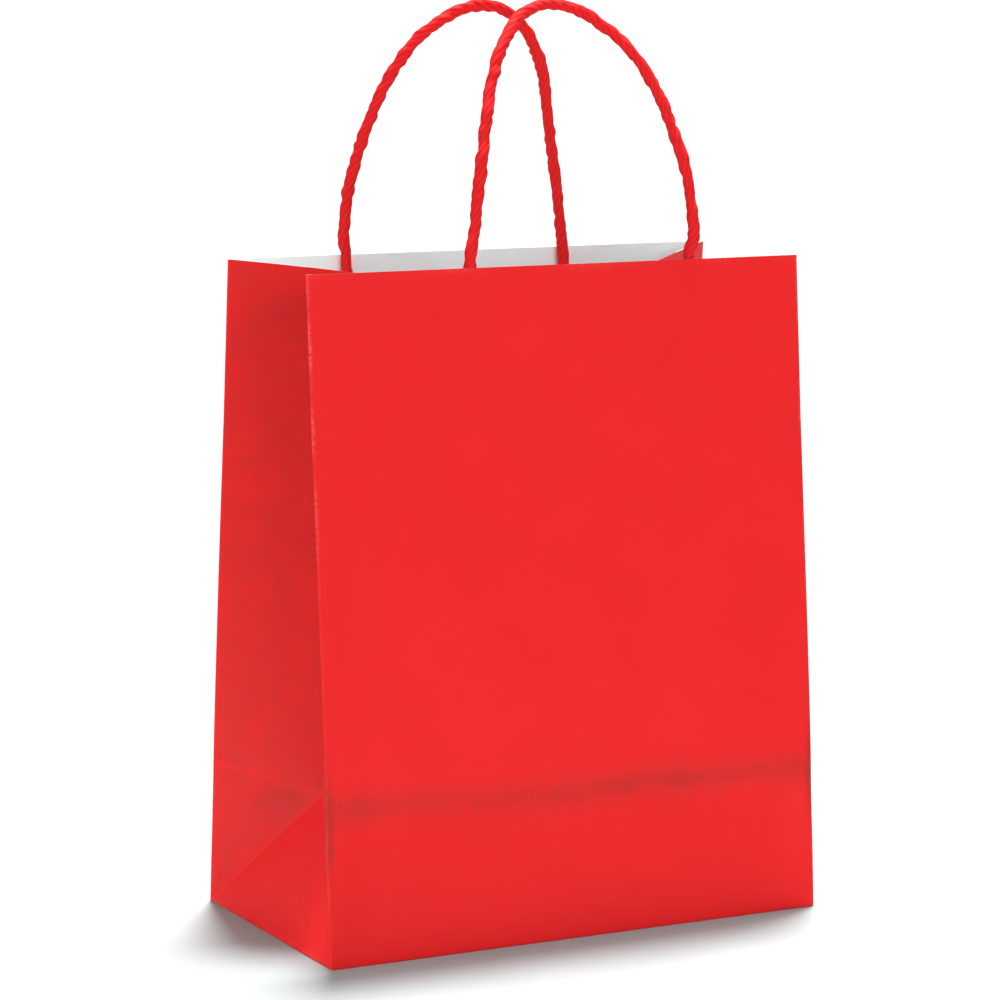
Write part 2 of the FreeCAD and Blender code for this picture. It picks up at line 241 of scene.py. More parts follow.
def coated_paper(name, colour, worn, painted_shade_colour):
    """Smooth coated paper: faint mottling and fine tooth.

    The third value of its chart is wear and painted shade.
    Above zero a fold has rubbed pale, and below zero the paper is painted darker as shade at creases and in
    folds.
    """
    nodes = Nodes(name)
    chart, wear_and_shade_here = nodes.split(nodes.chart())
    cloud = nodes.spread(nodes.noise(chart, 28.0), 0.3, 0.7)
    darker = tuple(0.955 * value for value in colour)
    plain = nodes.blend(cloud, darker, colour)
    rubbed = nodes.spread(nodes.noise(chart, 700.0, detail=4.0), 0.40, 0.60)
    patchy = nodes.spread(nodes.noise(chart, 30.0, detail=3.0), 0.42, 0.62)
    wear_and_shade = nodes.times(wear_and_shade_here, nodes.times(rubbed, patchy))
    rubbed_paper = nodes.blend(wear_and_shade, plain, worn)
    cloudy = nodes.spread(nodes.noise(chart, 70.0, detail=3.0), 0.3, 0.62, 0.45, 1.0)
    # Painted shade: below zero the chart paints the paper darker, towards the shade colour, in uneven
    # patches.
    painted_shade_share = nodes.times(nodes.spread(wear_and_shade_here, -1.0, 0.0, 1.0, 0.0), cloudy)
    final = nodes.blend(painted_shade_share, rubbed_paper, painted_shade_colour)
    tooth = nodes.bump(nodes.noise(chart, 2600.0, detail=2.0), 0.25, 0.00004)
    fibres = nodes.bump(nodes.noise(chart, 300.0, detail=3.0), 0.12, 0.00015, tooth)
    gloss = nodes.spread(nodes.noise(chart, 90.0), 0.3, 0.7, 0.46, 0.54)
    return nodes.finish(final, fibres, roughness=gloss, specular=0.15)


def plain_paper(name, colour, shade, roughness=0.8, scale=1.0):
    """Uncoated paper or board: soft mottling, small fibres and no shine."""
    nodes = Nodes(name)
    chart, _ = nodes.split(nodes.chart())
    cloud = nodes.spread(nodes.noise(chart, 60.0 * scale, detail=5.0), 0.3, 0.7)
    final = nodes.blend(cloud, shade, colour)
    tooth = nodes.bump(nodes.noise(chart, 1500.0 * scale, detail=3.0), 0.35, 0.00006)
    return nodes.finish(final, tooth, roughness=roughness, specular=0.2)


def cord_paper(name, colour, painted_groove_shade):
    """Twisted paper: creases that run with the twist, with painted shade in the grooves."""
    nodes = Nodes(name)
    grain = nodes.chart("grain")
    _, depth = nodes.split(nodes.chart())
    streaks = nodes.noise(grain, 1500.0, detail=4.0, roughness=0.6)
    mottle = nodes.spread(nodes.noise(grain, 500.0), 0.3, 0.7)
    # Painted shade: the grooves are painted darker, towards the shade colour.
    groove = nodes.times(depth, nodes.spread(streaks, 0.2, 0.6, 0.35, 0.75))
    tone = nodes.blend(mottle, tuple(0.9 * value for value in colour), colour)
    final = nodes.blend(groove, tone, painted_groove_shade)
    creases = nodes.bump(streaks, 0.6, 0.00025)
    return nodes.finish(final, creases, roughness=0.65, specular=0.1)


# The red paper's darkest colour is painted shade for creases, folds and the gussets.
RED = coated_paper("red_paper", colour=(0.82, 0.012, 0.014), worn=(0.95, 0.16, 0.14),
                   painted_shade_colour=(0.40, 0.022, 0.017))
LINING = plain_paper("white_lining", (0.89, 0.905, 0.91), (0.86, 0.875, 0.88))
CUT = plain_paper("cut_edge", (0.85, 0.80, 0.79), (0.78, 0.60, 0.59), scale=3.0)
PATCH = plain_paper("patch_paper", (0.80, 0.79, 0.76), (0.75, 0.735, 0.70))
BOARD = plain_paper("grey_board", (0.62, 0.60, 0.57), (0.52, 0.50, 0.475), scale=1.5)
CORD = cord_paper("red_cord", colour=(0.80, 0.014, 0.016), painted_groove_shade=(0.44, 0.008, 0.010))
SHEET = [RED, LINING, CUT]      # a sheet's outer skin, inner skin and cut edge


# ---------------------------------------------------------------- building paper

def store(mesh, name, values):
    """Keeps a vector for each point of a mesh, which its material reads."""
    attribute = mesh.attributes.new(name, "FLOAT_VECTOR", "POINT")
    attribute.data.foreach_set("vector", np.asarray(values, np.float32).ravel())


def link(mesh, name):
    """A piece in the scene, made from a mesh."""
    piece = bpy.data.objects.new(name, mesh)
    bpy.context.scene.collection.objects.link(piece)
    return piece


NO_LENGTH = 1e-15               # keeps the division safe where a normal has no length


def edge_kinds(skin, inside=False):
    """What the edge shows at each point: 2 cut at the rim, 1 white inside the bag, 0 red round a fold."""
    return np.where(skin[..., 2] > RIM_ZONE, 2, np.where(inside, 1, 0)).ravel()


def shell(name, skin, faces, thickness, materials, chart, edge=None):
    """A sheet of paper from its outer skin, with its inner skin and its edge.

    The edge is cut all round, unless `edge` says for each point which of the three materials it shows.
    """
    skin = np.asarray(skin, float)
    count = len(skin)
    corners = np.array([face if len(face) == 4 else (*face, face[2]) for face in faces])
    a, b, c, d = (skin[corners[:, k]] for k in range(4))
    cross = np.cross(c - a, d - b)
    normals = np.zeros_like(skin)
    for k in range(4):
        np.add.at(normals, corners[:, k], cross)
    normals /= np.maximum(np.linalg.norm(normals, axis=1, keepdims=True), NO_LENGTH)
    inner = skin - normals * np.broadcast_to(thickness, (count,))[:, None]
    directed = set()
    for face in faces:
        directed.update(zip(face, face[1:] + face[:1]))
    border = sorted((start, end) for start, end in directed if (end, start) not in directed)
    inner_faces = [tuple(index + count for index in face[::-1]) for face in faces]
    edge_faces = [(end, start, start + count, end + count) for start, end in border]
    mesh = bpy.data.meshes.new(name)
    mesh.from_pydata(np.vstack((skin, inner)).tolist(), [], list(faces) + inner_faces + edge_faces)
    for material in materials:
        mesh.materials.append(material)
    border_kinds = [2 if edge is None else int(min(edge[start], edge[end])) for start, end in border]
    kinds = [0] * len(faces) + [1] * len(faces) + border_kinds
    mesh.polygons.foreach_set("material_index", kinds)
    mesh.polygons.foreach_set("use_smooth", [True] * len(kinds))
    store(mesh, "chart", np.vstack((chart, chart)))
    mesh.set_sharp_from_angle(angle=math.radians(50))
    return link(mesh, name)


def lattice(rows, columns, flip=False):
    """Faces of a grid whose points run along the columns first."""
    faces = []
    for row in range(rows - 1):
        for column in range(columns - 1):
            a = row * columns + column
            face = (a, a + 1, a + columns + 1, a + columns)
            faces.append(face[::-1] if flip else face)
    return faces


def sheet_chart(x, s, wear_and_shade):
    """The chart of a sheet: two places on it and its wear and painted shade, for each point."""
    x, s, wear_and_shade = np.broadcast_arrays(x, s, wear_and_shade)
    return np.stack((x, s, wear_and_shade), axis=-1).reshape(-1, 3)


def place(piece, body, slot, *nodes):
    """Puts a piece in for its CAD nodes and hides them; the piece goes on one body if one is given, and is
    left unattached otherwise.
    """
    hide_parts(*nodes)
    if body:
        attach(piece, body)


# ---------------------------------------------------------------- the folded sheet's shape

CREASE_HEIGHT = 60.0 * MM       # the crease that lets the base fold up flat
CREASE_SLANT = 2.0 * MM         # how far its ends are above and below its middle
CREASE_WANDER = 0.8 * MM        # how far it strays from a straight line
CREASE_REACH = 10.0 * MM        # half the height of the band that it bends
CREASE_IN = 1.3 * MM            # how far a wall dips in below the crease
CREASE_OUT = 1.2 * MM           # how far it swells out above the crease
EDGE_BOW = 0.9 * MM             # how far it bulges beside its upright folds
CALM_ABOVE = 205.0 * MM         # the glued patches keep the wall flat from here up


def crease_height(side, x):
    """Where the soft crease crosses a wall: it slants a little and isn't quite straight."""
    wander = CREASE_WANDER * waves(x, 0, 5 + side, 0.09)
    return CREASE_HEIGHT - CREASE_SLANT * x / HALF_WIDTH * side + wander


def crease_shade(side, x, s):
    """How much painted shade the crease gets on a wall's paper, most at one corner and past the middle."""
    corner = np.exp(-((x * side + 101 * MM) / (9 * MM)) ** 2)
    middle = smooth((x * side + 24 * MM) / (30 * MM)) * smooth((140 * MM - x * side) / (70 * MM))
    along = 0.74 + 0.26 * np.maximum(corner, middle)
    height = s - crease_height(side, x)
    core = np.exp(-(height / (4.8 * MM)) ** 2)
    halo = np.exp(-(height / (9.0 * MM)) ** 2)
    return CREASE_SHADE * along * (0.7 * core + 0.3 * halo)


def relief(side, x, s):
    """How far a wall stands out from its flat plane."""
    middle = crease_height(side, x)
    low = middle - CREASE_REACH
    high = middle + CREASE_REACH
    dip = -CREASE_IN * smooth(s / low)
    swell = (CREASE_IN + CREASE_OUT) * smooth((s - low) / (high - low))
    settle = -CREASE_OUT * smooth((s - high) / (CALM_ABOVE - high))
    depth = 0.9 + 0.25 * waves(x, 0, 11 + side, 0.11)
    edge = smooth((HALF_WIDTH - np.abs(x)) / (16 * MM))
    crease = (dip + swell + settle) * depth * (0.15 + 0.85 * edge)
    bow = EDGE_BOW * np.sin(math.pi * np.clip(s / CALM_ABOVE, 0, 1)) * (1 - edge)
    calm = 1 - 0.7 * smooth((s - CALM_ABOVE + 30 * MM) / (30 * MM))
    sway = SWAY * waves(x, s, 21 + side, 0.12) * calm * smooth(s / (20 * MM))
    return crease + bow + sway


def wall_point(side, x, s, inward, flat=False):
    """A point by its place on a wall: along X, up the leaning wall, and in from its outer skin."""
    inward = inward - (0 if flat else relief(side, x, s))
    y = -HALF_DEPTH + s * math.sin(LEAN) + inward * math.cos(LEAN)
    z = s * math.cos(LEAN) - inward * math.sin(LEAN)
    return np.stack(np.broadcast_arrays(x, y * side, z), axis=-1)


def gusset_turn(s):
    """How far a gusset half turns in from square, so that both halves meet in the middle."""
    s = np.maximum(s, CREASE_HEIGHT)
    fold_y = HALF_DEPTH - s * math.sin(LEAN) - FOLD_RADIUS * math.cos(LEAN)
    return np.arccos(fold_y / (HALF_DEPTH * math.cos(LEAN)))


# ---------------------------------------------------------------- walls

DENSE_LOW = 36 * MM             # rows are closer together from here, below the crease,
DENSE_HIGH = 84 * MM            # to here, above it
BEAD_STEPS = 12
BEAD_PAST = math.radians(45)    # how far a folded edge runs on, hidden inside the gusset
BEAD_THICKNESS = 0.28 * MM
BASE_TURNS = (90, 75, 60, 45, 30, 15)   # degrees round the base fold


def wall_columns():
    """Places along a wall, closer together beside its folds."""
    reach = math.radians(77)
    return FOLD_X * np.sin(np.linspace(-1, 1, 75) * reach) / math.sin(reach)


def wall_rows():
    """Places up a wall, closer together at the crease."""
    return np.concatenate((np.linspace(FOLD_RADIUS, DENSE_LOW, 13)[:-1],
                           np.linspace(DENSE_LOW, DENSE_HIGH, 33)[:-1],
                           np.linspace(DENSE_HIGH, WALL_HEIGHT, 56)))


def fold_bead(side, end, rows):
    """The rounded edge that a wall shares with its gusset."""
    steps = np.linspace(0, 1, BEAD_STEPS + 1)[1:]
    angle = steps[None, :] * (math.pi / 2 + gusset_turn(rows) + BEAD_PAST)[:, None]
    up = np.repeat(rows[:, None], BEAD_STEPS, axis=1)
    out = relief(side, np.full(up.shape, end * FOLD_X), up)
    inward = FOLD_RADIUS * (1 - np.cos(angle)) - out
    bead = wall_point(side, end * (FOLD_X + FOLD_RADIUS * np.sin(angle)), up, inward, flat=True)
    return bead[:, ::-1] if end < 0 else bead


def base_rings(side, lowest):
    """Rows that carry a wall's lowest row round the base fold, down to the floor."""
    rings = []
    for degrees in BASE_TURNS:
        angle = math.radians(degrees)
        ring = lowest.copy()
        depth = np.clip(ring[:, 1] * side + HALF_DEPTH, 0, 0.8 * FOLD_RADIUS)
        radius = FOLD_RADIUS - depth
        ring[:, 1] = side * (FOLD_RADIUS - HALF_DEPTH - radius * math.cos(angle))
        ring[:, 2] = FOLD_RADIUS - radius * math.sin(angle)
        rings.append(ring)
    return np.array(rings)


def wall(side):
    """One wall: its flat part, the rounded edge along each fold, and the rounded base edge."""
    columns = wall_columns()
    rows = wall_rows()
    x, s = np.meshgrid(columns, rows)
    body = np.concatenate((fold_bead(side, LEFT, rows), wall_point(side, x, s, 0.0),
                           fold_bead(side, RIGHT, rows)), axis=1)
    skin = np.concatenate((base_rings(side, body[0]), body), axis=0)
    thickness = np.full(skin.shape[:2], PAPER)
    thickness[:, :BEAD_STEPS] = BEAD_THICKNESS
    thickness[:, -BEAD_STEPS:] = BEAD_THICKNESS
    across = np.concatenate((np.full(BEAD_STEPS, -HALF_WIDTH), columns, np.full(BEAD_STEPS, HALF_WIDTH)))
    up = np.concatenate((np.zeros(len(BASE_TURNS)), rows))
    beside_fold = np.clip((np.abs(across) - HALF_WIDTH + 1.0 * MM) / (0.9 * MM), 0, 1)
    upper = 0.10 + 0.90 * smooth((up - 90 * MM) / (150 * MM))
    wear_and_shade = CORNER_WEAR * beside_fold[None, :] * upper[:, None]
    wear_and_shade = np.maximum(wear_and_shade, RIM_WEAR * smooth((up - WALL_HEIGHT + 1.2 * MM) / (1.2 * MM))[:, None])
    # Painted shade: a darker band along the soft crease, and a darker strip beside each upright fold where
    # the crease meets it.
    wear_and_shade = wear_and_shade - crease_shade(side, across[None, :], up[:, None]) * (1 - beside_fold)[None, :]
    painted_pinch_shade = np.exp(-((up - CREASE_HEIGHT + 2 * MM) / (16 * MM)) ** 2)
    painted_shade_strip = smooth((np.abs(across) - HALF_WIDTH + 3.2 * MM) / (2.6 * MM))
    wear_and_shade = wear_and_shade - PINCH_SHADE * painted_pinch_shade[:, None] * painted_shade_strip[None, :]
    piece = shell(WALL_NAME[side] + "_wall_paper", skin.reshape(-1, 3),
                  lattice(*skin.shape[:2], flip=side < 0), thickness.ravel(), SHEET,
                  sheet_chart(across[None, :], up[:, None], wear_and_shade), edge_kinds(skin))
    place(piece, WALL_NAME[side] + "_wall", "bag_paper", WALL_NAME[side] + "_panel")


# ---------------------------------------------------------------- gussets

GUSSET_CELLS = 30               # cells across one gusset half
DIAGONAL_FOOT = 0.6 * MM        # height of the diagonal fold's lower end
WRINKLE_DROP = 17 * MM          # how far below the crease the faint wrinkle meets the wall's fold


def gusset_relief(side, end, s, w):
    """How far a gusset half stands out from its plain twisted plane."""
    share = np.clip(w / HALF_DEPTH, 0, 1)
    sway = 0.6 * SWAY * waves(w, s, 31 + side + 3 * end, 0.1) * np.sin(math.pi * share)
    beside = np.exp(-((s - CREASE_HEIGHT) / (6 * MM)) ** 2)
    crease = -0.6 * MM * beside * smooth((HALF_DEPTH - w) / (15 * MM)) * smooth(w / (8 * MM))
    return sway + crease


def gusset_point(side, end, s, w, outward):
    """A point of a gusset half, by its height along the fold and its distance from that fold."""
    fold = wall_point(side, np.full(np.shape(s), end * FOLD_X), s, FOLD_RADIUS)
    turn = gusset_turn(s)
    outward = outward + gusset_relief(side, end, s, w)
    across = w * np.sin(turn) - outward * np.cos(turn)
    inward = w * np.cos(turn) + outward * np.sin(turn)
    rise = smooth((s - CREASE_HEIGHT) / (WALL_HEIGHT - CREASE_HEIGHT))
    sag = MIDDLE_TOP_SAG * (w / HALF_DEPTH) ** 1.5 * rise
    step = np.stack((-end * across, side * inward * math.cos(LEAN),
                     -inward * math.sin(LEAN) - sag), axis=-1)
    return fold + step


def diagonal_height(w):
    """Height of the diagonal fold above a foot, along a gusset half's own plane."""
    return DIAGONAL_FOOT + w * (CREASE_HEIGHT - DIAGONAL_FOOT) / HALF_DEPTH


def gusset_half(side, end):
    """One half of a side gusset, from the wall's fold to the middle fold, above the foot."""
    cells = GUSSET_CELLS
    places = []
    number = {}
    for i in range(cells + 1):
        w = HALF_DEPTH * i / cells
        for j in range(cells - i + 1):
            number[(i, j)] = len(places)
            share = j / (cells - i) if i < cells else 0
            low = diagonal_height(w)
            places.append((low + (CREASE_HEIGHT - low) * share, w))
    faces = []
    for i in range(cells):
        for j in range(cells - i):
            if j < cells - i - 1:
                faces.append((number[i, j], number[i + 1, j], number[i + 1, j + 1], number[i, j + 1]))
            else:
                faces.append((number[i, j], number[i + 1, j], number[i, j + 1]))
    row = [number[i, cells - i] for i in range(cells + 1)]
    heights = np.concatenate((np.linspace(CREASE_HEIGHT, DENSE_HIGH, 17)[1:],
                              np.linspace(DENSE_HIGH, WALL_HEIGHT, 61)[1:]))
    rows = [row]
    for s in heights:
        row = []
        for i in range(cells + 1):
            row.append(len(places))
            places.append((s, HALF_DEPTH * i / cells))
        rows.append(row)
    for below, above in zip(rows, rows[1:]):
        for i in range(cells):
            faces.append((below[i], below[i + 1], above[i + 1], above[i]))
    s, w = np.array(places).T
    skin = gusset_point(side, end, s, w, FOLD_RADIUS)
    thickness = np.full(len(places), PAPER)
    if side == REAR:
        # The lip starts behind the middle fold and follows the front half's inner skin.
        for reach in (0.25 * LIP, 0.6 * LIP, LIP):
            last = [row[-1] for row in rows]
            start = len(skin)
            s_lip = np.concatenate(([CREASE_HEIGHT + 0.5 * reach], heights[:-1], [WALL_HEIGHT - 0.5 * MM]))
            lip = gusset_point(FRONT, end, s_lip, np.full(len(s_lip), HALF_DEPTH - reach), LIP_OUTWARD)
            skin = np.vstack((skin, lip))
            thickness = np.concatenate((thickness, np.full(len(s_lip), LIP_THICKNESS)))
            s = np.concatenate((s, s_lip))
            w = np.concatenate((w, np.full(len(s_lip), HALF_DEPTH + reach)))
            for k, row in enumerate(rows):
                row.append(start + k)
            for k in range(len(rows) - 1):
                faces.append((last[k], start + k, start + k + 1, last[k + 1]))
    if end * side < 0:
        faces = [face[::-1] for face in faces]
    near_fold = np.minimum(w, np.abs(HALF_DEPTH - w))
    near_fold = np.minimum(near_fold, np.abs(s - CREASE_HEIGHT) + 0.6 * MM)
    near_fold = np.minimum(near_fold, np.abs(s - diagonal_height(w)))
    wear_and_shade = FOLD_WEAR * (1 - smooth(near_fold / (1.6 * MM)))
    # Painted shade: the whole gusset is painted darker, more along a faint wrinkle below the crease and, on
    # the front half, deep in the pocket at the crease.
    wrinkle = CREASE_HEIGHT - WRINKLE_DROP * (1 - w / HALF_DEPTH)
    painted_wrinkle_shade = WRINKLE_SHADE * np.exp(-((s - wrinkle) / (4 * MM)) ** 2) * smooth((w - 8 * MM) / (20 * MM))
    painted_pocket_shade = np.zeros(len(s))
    if side == FRONT:
        at_crease = np.exp(-((s - CREASE_HEIGHT) / (20 * MM)) ** 2)
        painted_pocket_shade = POCKET_SHADE * smooth((w - 15 * MM) / (15 * MM)) * at_crease
    wear_and_shade = wear_and_shade - np.maximum(GUSSET_SHADE + painted_wrinkle_shade, painted_pocket_shade)
    name = END_NAME[end] + "_gusset_" + WALL_NAME[side]
    piece = shell(name + "_paper", skin, faces, thickness, SHEET,
                  sheet_chart(w * side + end * HALF_WIDTH, s, wear_and_shade),
                  edge_kinds(skin, inside=w > HALF_DEPTH - 0.01 * MM))
    place(piece, None, "bag_paper", name + "_half")
    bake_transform(piece)


FOOT_COLUMNS = 41
FOOT_ROWS = 26


def gusset_foot(end):
    """The triangle under the two diagonal folds, hinged on the base."""
    apex = gusset_point(FRONT, end, np.array([CREASE_HEIGHT]), np.array([HALF_DEPTH]), 0.0)[0]
    reach = abs(apex[0] - end * FOLD_X)
    rise = apex[2] - FOLD_RADIUS
    tilt = math.atan2(reach, rise)
    full = math.hypot(reach, rise)
    rows = []
    charts = []
    for degrees in np.linspace(90, -math.degrees(tilt), 7)[:-1]:
        angle = math.radians(degrees)
        x = end * (FOLD_X + FOLD_RADIUS * math.cos(angle))
        z = FOLD_RADIUS - FOLD_RADIUS * math.sin(angle)
        rows.append((x, z, 0.0))
    for share in np.linspace(0, 0.999, FOOT_ROWS):
        up = share * full
        x = end * (FOLD_X - up * math.sin(tilt) + FOLD_RADIUS * math.cos(tilt))
        z = FOLD_RADIUS + up * math.cos(tilt) + FOLD_RADIUS * math.sin(tilt)
        rows.append((x, z, share))
    skin = []
    thickness = []
    for x, z, share in rows:
        half = (HALF_DEPTH - FOLD_RADIUS) * (1 - share)
        w = HALF_DEPTH * share
        low = diagonal_height(w)
        room = CREASE_HEIGHT - low
        line = []
        for side, reaches in ((FRONT, (LIP, 0.4 * LIP)), (REAR, (0.4 * LIP, LIP))):
            for reach in reaches:
                s = low + min(reach, 0.7 * room)
                line.append(gusset_point(side, end, np.array([s]), np.array([w]), LIP_OUTWARD)[0])
            if side == FRONT:
                for t in np.linspace(-1, 1, FOOT_COLUMNS):
                    bulge = 0.35 * MM * math.sin(math.pi * share) * math.cos(t * math.pi / 2)
                    line.append((x + end * bulge, t * half, z))
        skin.append(line)
        thickness.append([LIP_THICKNESS] * 2 + [PAPER] * FOOT_COLUMNS + [LIP_THICKNESS] * 2)
        charts.append([(point[1], share * full, 0.0) for point in line])
    skin = np.array(skin, float)
    charts = np.array(charts, float)
    edge = np.minimum(np.abs(np.abs(charts[:, :, 0]) - (HALF_DEPTH - charts[:, :, 1])), charts[:, :, 1])
    charts[:, :, 2] = FOLD_WEAR * (1 - smooth(edge / (1.6 * MM)))
    piece = shell(END_NAME[end] + "_foot_paper", skin.reshape(-1, 3),
                  lattice(*skin.shape[:2], flip=end < 0), np.ravel(thickness), SHEET,
                  charts.reshape(-1, 3), edge_kinds(skin))
    place(piece, END_NAME[end] + "_foot", "bag_paper", END_NAME[end] + "_gusset_foot")


# ---------------------------------------------------------------- base

FLAP_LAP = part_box("bottom_flap_front")[1].y
LAP_RISE = 2.4 * MM             # length of the rear flap's ramp up onto the front one
LAP_LIFT = 0.34 * MM            # height of that ramp
TUCK_REACH = HALF_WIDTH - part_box("bottom_tuck_right")[0].x
TUCK_TIP = 30.0 * MM            # half width of a tuck's inner edge
TUCK_GAP = 0.75 * MM            # from a tuck's fold to the bag's corner
TUCK_LIFT = 0.67 * MM           # height of a tuck where it lies on the long flaps
TUCK_RISE = 6.0 * MM            # length of its rise up to there
TUCKED_RADIUS = 0.35 * MM       # a flap's folded edge sits just inside its wall's
FLAP_GAP = 0.4 * MM             # how far a long flap's mitred ends stand back from the corners
FLAP_WARP = 0.12 * MM           # height of the long flaps' slow waves
CARD_WARP = 0.25 * MM
CARD_CORNER = 3.0 * MM          # radius of the card's corners


def fold_rows(count):
    """Rows of a flap's folded edge: how far in from the fold, and how high."""
    rows = []
    for degrees in np.linspace(15, 90, count):
        angle = math.radians(degrees)
        rows.append((FOLD_RADIUS - TUCKED_RADIUS * math.cos(angle),
                     FOLD_RADIUS - TUCKED_RADIUS * math.sin(angle)))
    return rows


def base_flap(side):
    """A long flap of the base, mitred at both ends; the rear one steps up onto the front one."""
    rows = fold_rows(6)
    start_lift = FOLD_RADIUS - TUCKED_RADIUS
    depth = HALF_DEPTH + FLAP_LAP
    for inward in np.linspace(FOLD_RADIUS + 0.5 * MM, depth, 60):
        y = inward - HALF_DEPTH
        lap = 0 if side == FRONT else LAP_LIFT * smooth((y + FLAP_LAP + LAP_RISE) / LAP_RISE)
        settle = start_lift * (1 - smooth((inward - FOLD_RADIUS) / (8 * MM)))
        rows.append((inward, settle + lap))
    skin = []
    chart = []
    for inward, height in rows:
        half = HALF_WIDTH - FLAP_GAP - inward
        x = np.linspace(-half, half, 90)
        free = 1 if side == FRONT else smooth((HALF_DEPTH - FLAP_LAP - inward) / (20 * MM))
        calm = smooth(inward / (12 * MM)) * free
        lift = FLAP_WARP * (1 + waves(x, inward, 41 + side, 0.07)) * calm
        y = np.full(len(x), side * (inward - HALF_DEPTH))
        skin.append(np.stack((x, y, height + lift), axis=-1))
        edge = np.minimum(half - np.abs(x), depth - inward)
        wear_and_shade = FLAP_WEAR * (1 - smooth(edge / (1.2 * MM)))
        chart.append(np.stack((x, y, wear_and_shade), axis=-1))
    skin = np.array(skin)
    name = "bottom_flap_" + WALL_NAME[side]
    piece = shell(name + "_paper", skin.reshape(-1, 3), lattice(*skin.shape[:2], flip=side > 0), PAPER,
                  SHEET, np.array(chart).reshape(-1, 3))
    place(piece, "base", "bag_paper", name)


def base_tuck(end):
    """An end flap of the base, which lies inside on top of both long flaps."""
    rows = fold_rows(6)
    for inward in np.linspace(FOLD_RADIUS + 0.5 * MM, TUCK_REACH, 40):
        rows.append((inward, TUCK_LIFT * smooth((inward - FOLD_RADIUS) / TUCK_RISE)))
    skin = []
    chart = []
    root = HALF_DEPTH - TUCK_GAP
    for inward, height in rows:
        half = root - (root - TUCK_TIP) * inward / TUCK_REACH
        y = np.linspace(-half, half, 60)
        x = np.full(len(y), end * (HALF_WIDTH - inward))
        skin.append(np.stack((x, y, np.full(len(y), height)), axis=-1))
        edge = np.minimum(half - np.abs(y), TUCK_REACH - inward)
        wear_and_shade = FLAP_WEAR * (1 - smooth(edge / (1.2 * MM)))
        chart.append(np.stack((x, y, wear_and_shade), axis=-1))
    skin = np.array(skin)
    name = "bottom_tuck_" + END_NAME[end]
    piece = shell(name + "_paper", skin.reshape(-1, 3), lattice(*skin.shape[:2], flip=end > 0), PAPER,
                  SHEET, np.array(chart).reshape(-1, 3))
    place(piece, "base", "bag_paper", name)


def base_card():
    """The loose board on the bottom: slightly warped, with softly cut corners."""
    low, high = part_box("base_card")
    thick = high.z - low.z
    skin = []
    for y in np.linspace(low.y, high.y, 50):
        into_corner = max(0.0, abs(y) - high.y + CARD_CORNER)
        inset = CARD_CORNER - math.sqrt(max(CARD_CORNER ** 2 - into_corner ** 2, 0.0))
        x = np.linspace(low.x + inset, high.x - inset, 90)
        warp = CARD_WARP * (1 + waves(x, y, 51, 0.16))
        skin.append(np.stack((x, np.full(len(x), y), high.z + warp), axis=-1))
    skin = np.array(skin)
    piece = shell("base_board", skin.reshape(-1, 3), lattice(*skin.shape[:2]), thick,
                  [BOARD, BOARD, BOARD], skin.reshape(-1, 3))
    place(piece, "base", "base_card", "base_card")


# ---------------------------------------------------------------- patches and seam

CORD_RADIUS = 2.4 * MM
CORD_INWARD = 2 * PAPER + CORD_RADIUS   # a cord end's middle, inwards from its wall's outer skin
PATCH_TOP = WALL_HEIGHT - 16.0 * MM
PATCH_BOTTOM = PATCH_TOP - 40.0 * MM
CORD_FOOT = PATCH_BOTTOM + 4.0 * MM     # where each cord is cut off, inside the patch
REAR_DRIFT = 1.6 * MM                   # how far the rear handle's ends slant under the patch
CHANNEL_TOP = 1.3 * MM                  # half width of the top of a channel over a cord's end
CHANNEL_SLOPE = 3.9 * MM                # width of each of its sides
CHANNEL_ROOM = 0.25 * MM                # its height above the cord
PUCKER = 0.10 * MM                      # height of the cover's small waves
LEGS = {FRONT: (-38.5 * MM, 60.5 * MM), REAR: (40.5 * MM, -59.5 * MM)}


def leg_x(side, leg, s):
    """Where a cord end lies across the wall; the rear handle's slant a little under the patch."""
    drift = REAR_DRIFT if side == REAR else 0.0
    return leg + drift * smooth((WALL_HEIGHT - s) / (14 * MM))


def channel(side, x, s):
    """Height of the raised channels that the cover makes over the two cord ends."""
    total = np.zeros(np.broadcast(x, s).shape)
    for leg in LEGS[side]:
        ridge = 1 - smooth((np.abs(x - leg_x(side, leg, s)) - CHANNEL_TOP) / CHANNEL_SLOPE)
        total = np.maximum(total, ridge)
    closed = smooth((s - CORD_FOOT + 4.0 * MM) / (4.5 * MM))
    return (2 * CORD_RADIUS + CHANNEL_ROOM) * total * closed


def overlay(name, side, x, s, top, thickness, material, wear_and_shade=0.0):
    """A sheet glued inside a wall; `top` is how far in from the wall's outer skin its face lies."""
    xs, ss = np.meshgrid(x, s)
    skin = wall_point(side, xs, ss, top(xs, ss))
    return shell(name, skin.reshape(-1, 3), lattice(len(s), len(x), flip=side > 0), thickness,
                 [material, LINING, CUT], sheet_chart(xs, ss, wear_and_shade))


def uneven(values, seed, depth):
    """The same places, with the two outermost ones cut a little unevenly."""
    rng = np.random.default_rng(seed)
    values = values.copy()
    values[0] -= depth * rng.uniform(-1, 1)
    values[-1] += depth * rng.uniform(-1, 1)
    return values


